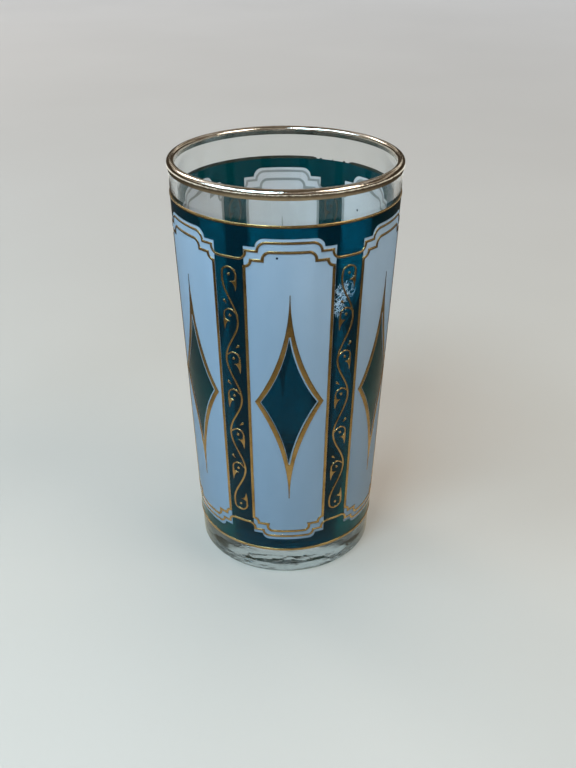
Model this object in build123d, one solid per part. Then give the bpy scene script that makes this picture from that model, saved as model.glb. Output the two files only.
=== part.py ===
"""Highball tumbler in clear glass with fired enamel and gilding.

The glass is a tapered cone with a heavy base. Round its outside run six tall white panels with a
teal diamond in each, teal between them and above and below, and raised gold lines on top.
Every enamel colour lies straight on the glass, and the gold lies on the enamel.

Frame: millimetres, +Z up along the glass's axis, origin at the middle of the base on the resting
plane. The first panel faces -Y and the others follow counter-clockwise seen from above.
"""
import os
from math import cos, pi, radians, sin, sqrt, tan

from build123d import *

# ---- Overall size -------------------------------------------------------------------------------
HEIGHT = 136.0  # foot to the top of the bare glass
RIM_DIAMETER = 71.0  # outside, at the top
BASE_DIAMETER = 59.4  # outside, where the cone would meet the resting plane

# ---- Glass --------------------------------------------------------------------------------------
WALL_AT_RIM = 2.0
WALL_AT_BASE = 2.6  # at the level of the inner floor
BASE_THICKNESS = 10.0
INNER_CORNER_RADIUS = 6.0
BASE_CORNER_RADIUS = 1.5
LIP_RADIUS = 0.9  # each edge of the fire-polished lip
PUSH_UP_RADIUS = 21.0  # the hollow under the base
PUSH_UP_DEPTH = 1.2
FOOT_EDGE_RADIUS = 0.6

# ---- Fired layers -------------------------------------------------------------------------------
ENAMEL_THICKNESS = 0.18
GOLD_THICKNESS = 0.12
RIM_BAND_HEIGHT = 2.8  # gilding below the lip, outside
RIM_BAND_INSIDE = 1.2  # gilding below the lip, inside

# ---- Pattern round the glass --------------------------------------------------------------------
PANELS = 6
PANEL_PITCH = 360.0 / PANELS  # degrees
UPPER_RING_Z = 125.7
LOWER_RING_Z = 10.5
RING_WIDTH = 0.9

# The panels' outlines. "flat", "step" and "cove" say how far out a corner is, as a share of
# WHITE_SIDE_ANGLE. The step is the shoulder beside the flat end. Heights are in mm.
WHITE_SIDE_ANGLE = 22.1  # half the white's width, in degrees round the glass
WHITE_SHIFT_ANGLE = 0.4  # the white sits a little to one side of its gold outline
WHITE_TOP = {"flat": 0.516, "step": 0.733, "z_flat": 122.2, "z_step": 119.5}
WHITE_FOOT = {"flat": 0.561, "step": 0.742, "z_flat": 15.0, "z_step": 17.0}

# Gold line round each panel, inside the white's edge: the cove takes the corner off.
OUTLINE_WIDTH = 0.85
OUTLINE_SIDE = 0.977
OUTLINE_TOP = {"flat": 0.421, "step": 0.57, "cove": 0.833, "z_flat": 118.2, "z_step": 115.5, "z_cove": 113.4}
OUTLINE_FOOT = {"flat": 0.48, "step": 0.566, "cove": 0.842, "z_flat": 18.5, "z_step": 21.1, "z_cove": 23.1}

# Gold line that follows every panel end and crosses the columns between them, all round the glass.
SCALLOP_WIDTH = 0.75
SCALLOP_COVE_END = 1.1
SCALLOP_TOP = {"flat": 0.48, "step": 0.688, "cove": 0.946, "z_flat": 121.0, "z_step": 118.25, "z_cove": 115.5}
SCALLOP_FOOT = {"flat": 0.552, "step": 0.706, "cove": 0.95, "z_flat": 16.4, "z_step": 18.4, "z_cove": 20.8}

# Diamond: heights and bows in mm. Its sides bow inwards.
DIAMOND_Z = 68.7
DIAMOND_ENAMEL_HALF_ANGLE = 15.1  # half the teal's width, in degrees round the glass
DIAMOND_ENAMEL_HALF_HEIGHT = 22.6
DIAMOND_ENAMEL_BOW = 1.3
DIAMOND_GOLD_CLEARANCE = 0.3  # white showing between the teal and the gold, on the right
DIAMOND_GOLD_SHIFT = 0.15
DIAMOND_GOLD_SHARE = 0.592  # of the room between the clearance and the panel's outline, at the sides
DIAMOND_BOW = 2.6
DIAMOND_SPIKE = 13.9  # gold above and below the teal
DIAMOND_TIP_WIDTH = 0.25  # blunt end of each gold spike

# Scroll on each column: a winding stem with a curl on alternate sides. The first and the last curl
# are the ends of the stem itself.
CURL_PITCH = 13.75  # from one curl's dot to the next, on the other side
CURL_COUNT = 7
TOP_CURL_Z = 110.1
LEFT_CURL_RISE = 0.6  # the curls on the left sit a little above the even pitch
STEM_SWING = 2.3  # the stem's reach to each side, and the radius of its two end curls
STEM_WIDTH = 0.62
STEM_SWAY_INSET = 1.2  # the sway begins and ends this far inside the end curls' centres
CURL_RADIUS = 2.05
CURL_WIDTH = 0.5
CURL_SIDE_SHIFT = 0.25  # curl centre, off the column's middle
CURL_BRANCH_RISE = 0.5  # where a curl leaves the stem, above the curl's centre
DOT_RADIUS = 0.47
TAIL_TIP_SIDE = 1.9  # from the curl's centre
TAIL_TIP_DROP = 5.5
LEAF_LENGTH = 1.8
LEAF_RADIUS = 0.42
LEAF_SIDE = 1.75  # the leaf's round end, from the curl's centre
LEAF_RISE = 4.5

# ---- Working values -----------------------------------------------------------------------------
TAPER = (RIM_DIAMETER - BASE_DIAMETER) / 2 / HEIGHT  # radius gained per mm of height
REACH = RIM_DIAMETER  # how far the flat outlines are carried through the wall
SEAM_OVERLAP = 0.5  # degrees that each length of a ring-round line runs past its neighbour


def wall_radius(z):
    """Radius of the outside of the bare glass at height z."""
    return BASE_DIAMETER / 2 + TAPER * z


def on_wall(angle, z):
    """Point in the front view at an angle round the glass, in degrees from the panel's middle."""
    return (wall_radius(z) * sin(radians(angle)), z)


def on_panel(side, share, z, shift=0.0):
    """Point in the front view on one side of a panel, share being 1 at the side of the white."""
    return on_wall(side * share * WHITE_SIDE_ANGLE + shift, z)


def cone_layer(bottom, top, under, thickness):
    """Thin cone on the wall from height bottom to top, lifted off the glass by under."""
    inner = under
    outer = under + thickness
    section = Polyline(
        (wall_radius(bottom) + inner, bottom),
        (wall_radius(bottom) + outer, bottom),
        (wall_radius(top) + outer, top),
        (wall_radius(top) + inner, top),
        close=True,
    )
    return revolve(Plane.XZ * make_face(section), Axis.Z)


def through_front(face):
    """Carry an outline drawn in the front view through the wall of the glass's front."""
    return extrude(Plane.XZ * face, amount=REACH)


def at_panel(shape, panel):
    return Rot(0, 0, panel * PANEL_PITCH) * shape


def at_column(shape, column):
    return Rot(0, 0, (column + 0.5) * PANEL_PITCH) * shape


# ---- Glass --------------------------------------------------------------------------------------
def make_glass():
    rim_radius = RIM_DIAMETER / 2
    floor_radius = wall_radius(BASE_THICKNESS) - WALL_AT_BASE
    outline = [
        Polyline(
            (PUSH_UP_RADIUS, 0),
            (BASE_DIAMETER / 2, 0),
            (rim_radius, HEIGHT),
            (rim_radius - WALL_AT_RIM, HEIGHT),
            (floor_radius, BASE_THICKNESS),
            (0, BASE_THICKNESS),
            (0, PUSH_UP_DEPTH),
        ),
        SagittaArc((0, PUSH_UP_DEPTH), (PUSH_UP_RADIUS, 0), push_up_bow()),
    ]
    section = make_face(outline)
    section = fillet(corner_near(section, BASE_DIAMETER / 2, 0), BASE_CORNER_RADIUS)
    section = fillet(corner_near(section, PUSH_UP_RADIUS, 0), FOOT_EDGE_RADIUS)
    section = fillet(corner_near(section, floor_radius, BASE_THICKNESS), INNER_CORNER_RADIUS)
    section = fillet(corner_near(section, rim_radius, HEIGHT), LIP_RADIUS)
    section = fillet(corner_near(section, rim_radius - WALL_AT_RIM, HEIGHT), LIP_RADIUS)
    return revolve(Plane.XZ * section, Axis.Z)


def push_up_bow():
    """Height of the push-up's curve over its chord, for a curve that is level in the middle."""
    chord = sqrt(PUSH_UP_RADIUS**2 + PUSH_UP_DEPTH**2)
    sphere = chord**2 / (2 * PUSH_UP_DEPTH)
    return sphere - sqrt(sphere**2 - (chord / 2) ** 2)


def corner_near(section, x, z):
    return section.vertices().sort_by_distance((x, z, 0))[0]


def make_rim_gilding(glass):
    """Gold leaf over the lip: a thickened copy of the wall's end with the glass taken away."""
    rim_radius = RIM_DIAMETER / 2
    low_outside = HEIGHT - RIM_BAND_HEIGHT
    low_inside = HEIGHT - RIM_BAND_INSIDE
    inner_radius = rim_radius - WALL_AT_RIM - GOLD_THICKNESS
    middle_radius = rim_radius - WALL_AT_RIM / 2
    section = make_face(
        Polyline(
            (wall_radius(low_outside) + GOLD_THICKNESS, low_outside),
            (rim_radius + GOLD_THICKNESS, HEIGHT + GOLD_THICKNESS),
            (inner_radius, HEIGHT + GOLD_THICKNESS),
            (inner_radius - TAPER * RIM_BAND_INSIDE, low_inside),
            (middle_radius, low_inside),
            (middle_radius, low_outside),
            close=True,
        )
    )
    lip = LIP_RADIUS + GOLD_THICKNESS
    section = fillet(corner_near(section, rim_radius + GOLD_THICKNESS, HEIGHT + GOLD_THICKNESS), lip)
    section = fillet(corner_near(section, inner_radius, HEIGHT + GOLD_THICKNESS), lip)
    return revolve(Plane.XZ * section, Axis.Z) - glass


# ---- Outlines in the front view -----------------------------------------------------------------
def quarter_turn(start, end, bulge):
    """Arc of about a quarter turn from start to end, bulging to the left for a positive bulge."""
    chord = sqrt((end[0] - start[0]) ** 2 + (end[1] - start[1]) ** 2)
    return SagittaArc(start, end, bulge * chord * tan(pi / 8) / 2)


def white_outline():
    """Edge of the white: flat ends, a round shoulder and a square step down to each side."""
    edges = []
    for side in (-1, 1):
        corners = []
        for end, rise in ((WHITE_TOP, 1), (WHITE_FOOT, -1)):
            flat = on_panel(side, end["flat"], end["z_flat"], WHITE_SHIFT_ANGLE)
            step = on_panel(side, end["step"], end["z_step"], WHITE_SHIFT_ANGLE)
            corner = on_panel(side, 1, end["z_step"], WHITE_SHIFT_ANGLE)
            edges.append(quarter_turn(flat, step, side * rise))
            edges.append(Line(step, corner))
            corners.append(corner)
        edges.append(Line(*corners))
    for end in (WHITE_TOP, WHITE_FOOT):
        left = on_panel(-1, end["flat"], end["z_flat"], WHITE_SHIFT_ANGLE)
        right = on_panel(1, end["flat"], end["z_flat"], WHITE_SHIFT_ANGLE)
        edges.append(Line(left, right))
    return make_face(edges)


def coved_end(end, side, rise, cove_share):
    """Half of a stepped end, from the panel's middle to the foot of its cove."""
    middle = (0, end["z_flat"])
    flat = on_panel(side, end["flat"], end["z_flat"])
    step = on_panel(side, end["step"], end["z_step"])
    shoulder = on_panel(side, end["cove"], end["z_step"])
    cove = on_panel(side, cove_share, end["z_cove"])
    return [
        Line(middle, flat),
        quarter_turn(flat, step, side * rise),
        Line(step, shoulder),
        quarter_turn(shoulder, cove, -side * rise),
    ]


def panel_outline_line():
    """Closed gold line inside the white's edge, drawn with its width."""
    edges = []
    for side in (-1, 1):
        edges += coved_end(OUTLINE_TOP, side, 1, OUTLINE_SIDE)
        edges += coved_end(OUTLINE_FOOT, side, -1, OUTLINE_SIDE)
        top = on_panel(side, OUTLINE_SIDE, OUTLINE_TOP["z_cove"])
        foot = on_panel(side, OUTLINE_SIDE, OUTLINE_FOOT["z_cove"])
        edges.append(Line(top, foot))
    return trace(Wire(edges), OUTLINE_WIDTH)


def scallop_line(end, rise):
    """One sixth of the line that follows the panel ends: over the panel and half of each column."""
    edges = []
    for side in (-1, 1):
        edges += coved_end(end, side, rise, SCALLOP_COVE_END)
        cove = on_panel(side, SCALLOP_COVE_END, end["z_cove"])
        seam = on_wall(side * (PANEL_PITCH / 2 + SEAM_OVERLAP), end["z_cove"])
        edges.append(Line(cove, seam))
    return trace(Wire(edges), SCALLOP_WIDTH)


def diamond(half_width, half_height, bow, tip_width=0.0):
    """Four-pointed shape with inward-bowed sides, blunt at top and bottom by tip_width."""
    tip = tip_width / 2
    edges = []
    for side in (-1, 1):
        for rise in (-1, 1):
            point = (side * tip, rise * half_height)
            edges.append(SagittaArc((side * half_width, 0), point, side * rise * bow))
    if tip_width > 0:
        edges.append(Line((-tip, half_height), (tip, half_height)))
        edges.append(Line((-tip, -half_height), (tip, -half_height)))
    return Pos(0, DIAMOND_Z) * make_face(edges)


def diamond_enamel_face():
    half_width = on_wall(DIAMOND_ENAMEL_HALF_ANGLE, DIAMOND_Z)[0]
    return diamond(half_width, DIAMOND_ENAMEL_HALF_HEIGHT, DIAMOND_ENAMEL_BOW)


def diamond_border_face():
    window_side = on_wall(DIAMOND_ENAMEL_HALF_ANGLE, DIAMOND_Z)[0] + DIAMOND_GOLD_CLEARANCE
    outline_side = on_panel(1, OUTLINE_SIDE, DIAMOND_Z)[0] - OUTLINE_WIDTH / 2
    half_width = window_side + DIAMOND_GOLD_SHARE * (outline_side - window_side)
    half_height = DIAMOND_ENAMEL_HALF_HEIGHT + DIAMOND_SPIKE
    outer = diamond(half_width, half_height, DIAMOND_BOW, DIAMOND_TIP_WIDTH)
    window = offset(diamond_enamel_face(), DIAMOND_GOLD_CLEARANCE, kind=Kind.INTERSECTION)
    return Pos(DIAMOND_GOLD_SHIFT, 0) * (outer - window)


# ---- Scroll -------------------------------------------------------------------------------------
def ribbon(points, width):
    """Brush stroke of even width with round ends along a smooth line through points."""
    line = Spline(*points)
    stroke = trace(line, width)
    for end in (points[0], points[-1]):
        stroke += Pos(*end) * Circle(width / 2)
    return stroke


def round_points(center, radius, start, stop, steps):
    """Points along an arc about center, angles in degrees."""
    points = []
    for step in range(steps + 1):
        angle = radians(start + (stop - start) * step / steps)
        points.append((center[0] + radius * cos(angle), center[1] + radius * sin(angle)))
    return points


def tail(side, rise, radius):
    """Fishtail that ends a curl: a long point away from the curl and a short prong inwards."""
    outer = (side * (radius + CURL_WIDTH / 2), -rise * CURL_WIDTH)
    tip = (side * TAIL_TIP_SIDE, -rise * TAIL_TIP_DROP)
    notch = (side * (radius - 1.1), -rise * (radius + 0.3))
    prong = (-side * 0.35, -rise * (radius - 0.2))
    inner = (side * (radius - CURL_WIDTH), -rise * (radius - 0.8))
    bend = side * rise
    edges = [
        SagittaArc(outer, tip, bend * 0.2),
        SagittaArc(tip, notch, -bend * 0.3),
        SagittaArc(notch, prong, -bend * 0.12),
        SagittaArc(prong, inner, -bend * 0.15),
        Line(inner, outer),
    ]
    return make_face(edges)


def leaf(side):
    """Small teardrop beside the stem, above a curl, pointing down towards the stem."""
    drop = Pos(side * LEAF_SIDE, LEAF_RISE) * Circle(LEAF_RADIUS)
    reach = LEAF_LENGTH - LEAF_RADIUS
    point = (side * (LEAF_SIDE - reach * cos(pi / 4)), LEAF_RISE - reach * sin(pi / 4))
    across = LEAF_RADIUS * cos(pi / 4)
    body = Polyline(
        (side * (LEAF_SIDE + across), LEAF_RISE - across),
        point,
        (side * (LEAF_SIDE - across), LEAF_RISE + across),
        close=True,
    )
    return drop + make_face(body)


def stem_points():
    """Middle line of the stem: over the top curl, swaying down the column, under the last curl."""
    last_z = TOP_CURL_Z - CURL_PITCH * (CURL_COUNT - 1)
    sways = CURL_COUNT - 1
    high = TOP_CURL_Z - STEM_SWAY_INSET
    low = last_z + STEM_SWAY_INSET
    points = round_points((0, TOP_CURL_Z), STEM_SWING, -20, 155, 7)
    for step in range(6 * sways + 1):
        part = step / (6 * sways)
        points.append((-STEM_SWING * cos(pi * sways * part), high + (low - high) * part))
    return points + round_points((0, last_z), STEM_SWING, 205, 380, 7)


def scroll_faces():
    """All strokes of one column's scroll, as separate outlines in the front view."""
    last_z = TOP_CURL_Z - CURL_PITCH * (CURL_COUNT - 1)
    stroke = ribbon(stem_points(), STEM_WIDTH)
    stroke += Pos(0, TOP_CURL_Z) * tail(1, 1, STEM_SWING)
    stroke += Pos(0, last_z) * tail(1, -1, STEM_SWING)
    loose = [Pos(0, z) * Circle(DOT_RADIUS) for z in (TOP_CURL_Z, last_z)]
    for curl in range(1, CURL_COUNT - 1):
        side = 1 if curl % 2 == 0 else -1
        rise = 0 if side > 0 else LEFT_CURL_RISE
        center = (side * CURL_SIDE_SHIFT, TOP_CURL_Z - CURL_PITCH * curl + rise)
        branch = (-side * STEM_SWING, center[1] + CURL_BRANCH_RISE)
        turns = round_points(center, CURL_RADIUS, 90 + side * 50, 90 - side * 115, 7)
        stroke += ribbon([branch, *turns], CURL_WIDTH)
        stroke += Pos(*center) * tail(side, 1, CURL_RADIUS)
        loose.append(Pos(*center) * Circle(DOT_RADIUS))
        loose.append(Pos(*center) * leaf(side))
    return [stroke, *loose]


# ---- Assembly -----------------------------------------------------------------------------------
def make_nodes():
    """Every named piece of the tumbler, in place."""
    glass = make_glass()
    half_ring = RING_WIDTH / 2
    decorated = (LOWER_RING_Z - half_ring, UPPER_RING_Z + half_ring)
    enamel = cone_layer(*decorated, 0.0, ENAMEL_THICKNESS)
    gold = cone_layer(*decorated, ENAMEL_THICKNESS, GOLD_THICKNESS)

    nodes = {"glass_body": glass, "rim_gilding": make_rim_gilding(glass)}
    for name, ring_z in (("upper_gold_ring", UPPER_RING_Z), ("lower_gold_ring", LOWER_RING_Z)):
        nodes[name] = cone_layer(ring_z - half_ring, ring_z + half_ring, ENAMEL_THICKNESS, GOLD_THICKNESS)

    white_window = through_front(white_outline())
    diamond_window = through_front(diamond_enamel_face())
    white_panel = (enamel & white_window) - diamond_window
    diamond_enamel = enamel & diamond_window
    diamond_border = gold & through_front(diamond_border_face())
    panel_outline = gold & through_front(panel_outline_line())
    scroll = [gold & through_front(face) for face in scroll_faces()]

    teal = enamel
    for panel in range(PANELS):
        teal -= at_panel(white_window, panel)
    nodes["teal_enamel"] = teal
    for name, end, rise in (("upper", SCALLOP_TOP, 1), ("lower", SCALLOP_FOOT, -1)):
        sixth = gold & through_front(scallop_line(end, rise))
        nodes[name + "_scallop_line"] = sum((at_panel(sixth, panel) for panel in range(PANELS)), Part())

    for panel in range(PANELS):
        number = str(panel + 1)
        nodes["white_panel_" + number] = at_panel(white_panel, panel)
        nodes["diamond_enamel_" + number] = at_panel(diamond_enamel, panel)
        nodes["diamond_border_" + number] = at_panel(diamond_border, panel)
        nodes["panel_outline_" + number] = at_panel(panel_outline, panel)
        nodes["column_scroll_" + number] = Compound([at_column(stroke, panel) for stroke in scroll])
    return nodes


os.makedirs("parts", exist_ok=True)
for node_name, shape in make_nodes().items():
    export_step(shape, "parts/" + node_name + ".step")
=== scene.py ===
"""Looks of the enamelled highball tumbler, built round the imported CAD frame.

Artwork is drawn flat in the glass's front view, x to the right and z up, in millimetres, as in the
CAD source. It is then wrapped onto the tapered wall as thin closed layers: enamel just clear of the
glass, and gold that reaches through the enamel and stands on it. Every piece replaces the CAD node
that it stands for, but for the scratches, which stand for none.
"""
import random
from math import atan, cos, pi, radians, sin, sqrt, tan

import bpy
import numpy as np
from mathutils import Matrix, Vector, geometry


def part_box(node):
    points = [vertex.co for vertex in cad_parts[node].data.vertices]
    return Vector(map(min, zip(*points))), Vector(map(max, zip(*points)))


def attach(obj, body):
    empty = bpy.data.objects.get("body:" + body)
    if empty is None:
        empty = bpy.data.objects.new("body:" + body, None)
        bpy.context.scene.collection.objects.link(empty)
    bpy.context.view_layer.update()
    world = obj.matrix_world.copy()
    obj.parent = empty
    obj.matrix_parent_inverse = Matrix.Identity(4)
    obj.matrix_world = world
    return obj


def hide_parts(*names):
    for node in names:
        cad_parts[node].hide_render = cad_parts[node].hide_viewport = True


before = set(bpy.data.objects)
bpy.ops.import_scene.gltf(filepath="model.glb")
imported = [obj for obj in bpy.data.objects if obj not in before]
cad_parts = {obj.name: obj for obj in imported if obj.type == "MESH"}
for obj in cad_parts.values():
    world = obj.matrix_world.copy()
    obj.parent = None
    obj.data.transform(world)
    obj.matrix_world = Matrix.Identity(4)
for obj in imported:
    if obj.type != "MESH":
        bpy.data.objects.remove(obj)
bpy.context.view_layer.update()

MM = 0.001

# ---- Sizes read from the CAD, in millimetres ----
GLASS_BOX = [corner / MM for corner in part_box("glass_body")]
RIM_GOLD_BOX = [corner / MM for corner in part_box("rim_gilding")]
UPPER_RING_BOX = [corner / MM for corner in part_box("upper_gold_ring")]
LOWER_RING_BOX = [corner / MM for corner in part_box("lower_gold_ring")]
HEIGHT = GLASS_BOX[1].z
RIM_RADIUS = GLASS_BOX[1].x
TAPER = (UPPER_RING_BOX[1].x - LOWER_RING_BOX[1].x) / (UPPER_RING_BOX[1].z - LOWER_RING_BOX[1].z)
BASE_RADIUS = RIM_RADIUS - TAPER * HEIGHT

# ---- Glass ----
WALL_AT_RIM = 2.0
WALL_AT_BASE = 2.6
BASE_THICKNESS = 10.0
INNER_CORNER_RADIUS = 6.0
BASE_CORNER_RADIUS = 1.5
LIP_RADIUS = 0.97
PUSH_UP_RADIUS = 21.0
PUSH_UP_DEPTH = 1.2
PUSH_UP_DRAWN = 0.94  # share of the push-up's radius that its own curve takes up
PUSH_UP_STEPS = 11
FOOT_EDGE_RADIUS = 0.6
TURNS = 360  # steps round the lathe-turned pieces

# ---- Layers: how far above the bare glass each begins and how thick it is ----
ENAMEL_LIFT = 0.02
ENAMEL_THICKNESS = 0.12
# the gold's inward faces carry painted shade, a flat dull colour seen from inside
GOLD_LIFT = ENAMEL_LIFT - 0.008  # the gold is fired into the enamel, so it shows from inside too
GOLD_EDGE = ENAMEL_THICKNESS + 0.038
GOLD_THICKNESS = 0.13
GOLD_DOME = ((0.62, 0.86), (0.9, 0.55), (1.0, 0.0))  # half a line's section: out and up, as shares
GOLD_SECTION = [(-out, up) for out, up in reversed(GOLD_DOME)] + [(0.0, 1.0), *GOLD_DOME]
RIM_GOLD_LIFT = 0.015
RIM_GOLD_THICKNESS = 0.1
RIM_BEAD = 0.22  # how far the gilded rim stands out at its fullest
RIM_BAND_INSIDE = 1.2
RING_ON_TEAL = 0.3  # how far the upper ring overlaps the teal; the rest of it lies on bare glass
RING_GAP = (140.5, 160.5)  # where the upper ring has worn away, in degrees from the first panel's middle
RING_REMNANTS = ((143.2, 144.6, 0.30), (150.8, 151.5, 0.22), (157.4, 158.9, 0.28))  # from, to, width in mm
RING_FRAY = 3.0  # degrees over which the ring thins towards its gap
RING_END_SHARE = 0.25  # of the ring's width, at the gap
RING_RAGGED = 4.0  # degrees over which its edge is ragged
RING_RAGGED_SHARE = 0.12
RING_RAGGED_RATE = 5  # how fast the raggedness changes with the angle
SCRATCH_PATCHES = ((27.3, 104.4, 1.5, 1.6, 120), (25.2, 100.0, 0.9, 1.4, 80))  # angle, z, spreads, strokes
SCRATCH_LEANS = (62, 118, 20, 160, 90)  # degrees from level
SCRATCH_LEAN_SPREAD = 16
SCRATCH_HALF_LENGTH = (0.3, 1.25)
SCRATCH_HALF_WIDTH = (0.035, 0.08)
SCRATCH_BEND = 0.15
SCRATCH_LIFT = ENAMEL_LIFT + ENAMEL_THICKNESS - 0.02
SCRATCH_EDGE = 0.03
SCRATCH_THICKNESS = 0.02
SPECKS = ((-5.8, 116.5, 0.34), (131, 111.0, 0.36), (-38, 88.0, 0.12))  # angle, z, radius
SPECK_FADE = 0.08

# ---- Artwork: half-angles in degrees from the panel's middle, heights in mm ----
PANELS = 6
PANEL_PITCH = 360.0 / PANELS
WHITE_SIDE_ANGLE = 22.1
WHITE_SHIFT_ANGLE = 0.4
WHITE_TOP = {"flat": 11.4, "step": 16.2, "z_flat": 122.2, "z_step": 119.5}
WHITE_FOOT = {"flat": 12.4, "step": 16.4, "z_flat": 15.0, "z_step": 17.0}
OUTLINE_WIDTH = 0.85
OUTLINE_SIDE_ANGLE = 21.6
OUTLINE_TOP = {"flat": 9.3, "step": 12.6, "cove": 18.4, "z_flat": 118.2, "z_step": 115.5, "z_cove": 113.4}
OUTLINE_FOOT = {"flat": 10.6, "step": 12.5, "cove": 18.6, "z_flat": 18.5, "z_step": 21.1, "z_cove": 23.1}
SCALLOP_WIDTH = 0.75
SCALLOP_COVE_END = 24.3
SCALLOP_TOP = {"flat": 10.6, "step": 15.2, "cove": 20.9, "z_flat": 121.0, "z_step": 118.25, "z_cove": 115.5}
SCALLOP_FOOT = {"flat": 12.2, "step": 15.6, "cove": 21.0, "z_flat": 16.4, "z_step": 18.4, "z_cove": 20.8}
DIAMOND_Z = 68.7
DIAMOND_HALF_WIDTH = 10.45
DIAMOND_HALF_HEIGHT = 36.5
DIAMOND_BOW = 2.6
DIAMOND_TIP_WIDTH = 0.25
DIAMOND_ENAMEL_HALF_WIDTH = 8.5
DIAMOND_ENAMEL_HALF_HEIGHT = 22.6
DIAMOND_ENAMEL_BOW = 1.3
DIAMOND_GOLD_CLEARANCE = 0.3
DIAMOND_GOLD_SHIFT = 0.15
DIAMOND_SEAM = 0.03  # gap between the teal and the white round it
DIAMOND_GOLD_SLOPE = 0.3  # how far in from its edge the gold reaches its full height
DIAMOND_ROOM = 1.0
CURL_PITCH = 13.75
CURL_COUNT = 7
TOP_CURL_Z = 110.1
LAST_CURL_Z = TOP_CURL_Z - CURL_PITCH * (CURL_COUNT - 1)
LEFT_CURL_RISE = 0.6
STEM_SWING = 2.3
STEM_WIDTH = 0.62
STEM_SWAY_INSET = 1.2
CURL_RADIUS = 2.05
CURL_WIDTH = 0.5
CURL_SIDE_SHIFT = 0.25
CURL_BRANCH_RISE = 0.5
STEM_TOP_TURN = (-20, 155)  # from and to, in degrees from the right
STEM_FOOT_TURN = (205, 380)
CURL_START = 50  # degrees from straight up, where the curl leaves its branch
CURL_END = 115
DOT_RADIUS = 0.47
TAIL_TIP_SIDE = 1.9
TAIL_TIP_DROP = 5.5
TAIL_NOTCH_INSET = 1.1
TAIL_NOTCH_DROP = 0.3
TAIL_PRONG_SIDE = 0.35
TAIL_PRONG_RISE = 0.2
TAIL_INNER_RISE = 0.8
TAIL_BOWS = (0.2, -0.3, -0.12, -0.15)  # how far its sides bow, from the curl's outside round
LEAF_LENGTH = 1.8
LEAF_RADIUS = 0.42
LEAF_SIDE = 1.75
LEAF_RISE = 4.5
SCROLL_REACH = (4.5, 4.0)  # room round the curls, sideways and up or down
SCROLL_GOLD_SLOPE = 0.25

# ---- Mesh fineness: steps in mm, and the number of steps in an arc ----
ENAMEL_STEP = 1.2
LINE_STEP = 0.7
SCROLL_STEP = 0.12
DIAMOND_STEP = 0.16
DIAMOND_ARC_STEPS = 24
CURL_STEPS = 7
ROW_SHARE = 0.87  # height of a row of even triangles, as a share of their side
EDGE_ROOM = 0.45  # of a step: the grid stays this far from an edge
LEAST_DEPTH = 0.08  # of a step: no grid point is nearer to a stroke's edge
FAR_OUTSIDE = 9.0
RIM_STEP = 0.2
PROFILE_STEP = 4.0
FILLET_STEPS = 14

SAME_POINT = 1e-6
SHARP_ENAMEL = 35  # edges sharper than this, in degrees, are not smoothed
SHARP_TURNED = 50
SHARP_GOLD = 80


def wall_radius(z):
    """Radius of the outside of the bare glass at height z."""
    return BASE_RADIUS + TAPER * z


def on_wall(angle, z):
    """Point in the front view at an angle round the glass, in degrees from the panel's middle."""
    return (wall_radius(z) * sin(radians(angle)), z)


# ---- Lines in the front view ----
def arc(start, end, sagitta, steps=6):
    """Points from start to end on the arc that stands sagitta to the left of its chord."""
    start = np.array(start)
    end = np.array(end)
    chord = np.linalg.norm(end - start)
    along = (end - start) / chord
    left = np.array((-along[1], along[0]))
    half_turn = 2 * atan(2 * abs(sagitta) / chord)
    radius = chord / 2 / sin(half_turn)
    turn = np.linspace(-half_turn, half_turn, steps + 1)[:, None]
    rise = np.sign(sagitta) * radius * (np.cos(turn) - cos(half_turn))
    return (start + end) / 2 + along * radius * np.sin(turn) + left * rise


def quarter_turn(start, end, bulge):
    """Arc of about a quarter turn from start to end, bulging to the left for a positive bulge."""
    chord = np.hypot(end[0] - start[0], end[1] - start[1])
    return arc(start, end, bulge * chord * tan(pi / 8) / 2)


def joined(*parts):
    """One line through several runs of points, without the points that two runs share."""
    points = np.vstack([np.atleast_2d(part) for part in parts])
    apart = np.hypot(*np.diff(points, axis=0).T) > SAME_POINT
    return points[np.concatenate(([True], apart))]


def closed_line(*parts):
    """The same for a closed line, whose last point isn't its first one again."""
    points = joined(*parts)
    return points[:-1] if np.hypot(*(points[-1] - points[0])) < SAME_POINT else points


def divided(points, step, closed):
    """The same line with points no further apart than step."""
    ends = np.vstack((points[1:], points[:1])) if closed else points[1:]
    starts = points if closed else points[:-1]
    made = []
    for start, end in zip(starts, ends):
        count = max(1, int(np.ceil(np.hypot(*(end - start)) / step)))
        made += [start + (end - start) * part / count for part in range(count)]
    if not closed:
        made.append(points[-1])
    return np.array(made)


def both_ends(half, top, foot):
    """Closed line through the halves of a panel's top and foot."""
    return closed_line(half(top, 1, 1), half(foot, 1, -1)[::-1], half(foot, -1, -1), half(top, -1, 1)[::-1])


def white_outline(left_shift):
    """Edge of the white: flat ends, a round shoulder and a square step down to each side."""

    def half(end, side, rise):
        shift = WHITE_SHIFT_ANGLE if side > 0 else left_shift
        flat = on_wall(side * end["flat"] + shift, end["z_flat"])
        step = on_wall(side * end["step"] + shift, end["z_step"])
        corner = on_wall(side * WHITE_SIDE_ANGLE + shift, end["z_step"])
        return joined(quarter_turn(flat, step, side * rise), corner)

    return both_ends(half, WHITE_TOP, WHITE_FOOT)


def coved_half(end, side, rise, cove_angle=OUTLINE_SIDE_ANGLE):
    """Half of a stepped end, from the panel's middle to the foot of its cove."""
    flat = on_wall(side * end["flat"], end["z_flat"])
    step = on_wall(side * end["step"], end["z_step"])
    shoulder = on_wall(side * end["cove"], end["z_step"])
    cove = on_wall(side * cove_angle, end["z_cove"])
    return joined(
        (0, end["z_flat"]),
        quarter_turn(flat, step, side * rise),
        quarter_turn(shoulder, cove, -side * rise),
    )


def scallop_path(end, rise):
    """The line over one panel and half of each column beside it, from left to right."""
    seam = [on_wall(side * PANEL_PITCH / 2, end["z_cove"]) for side in (-1, 1)]
    return joined(
        seam[0],
        coved_half(end, -1, rise, SCALLOP_COVE_END)[::-1],
        coved_half(end, 1, rise, SCALLOP_COVE_END),
        seam[1],
    )


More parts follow.
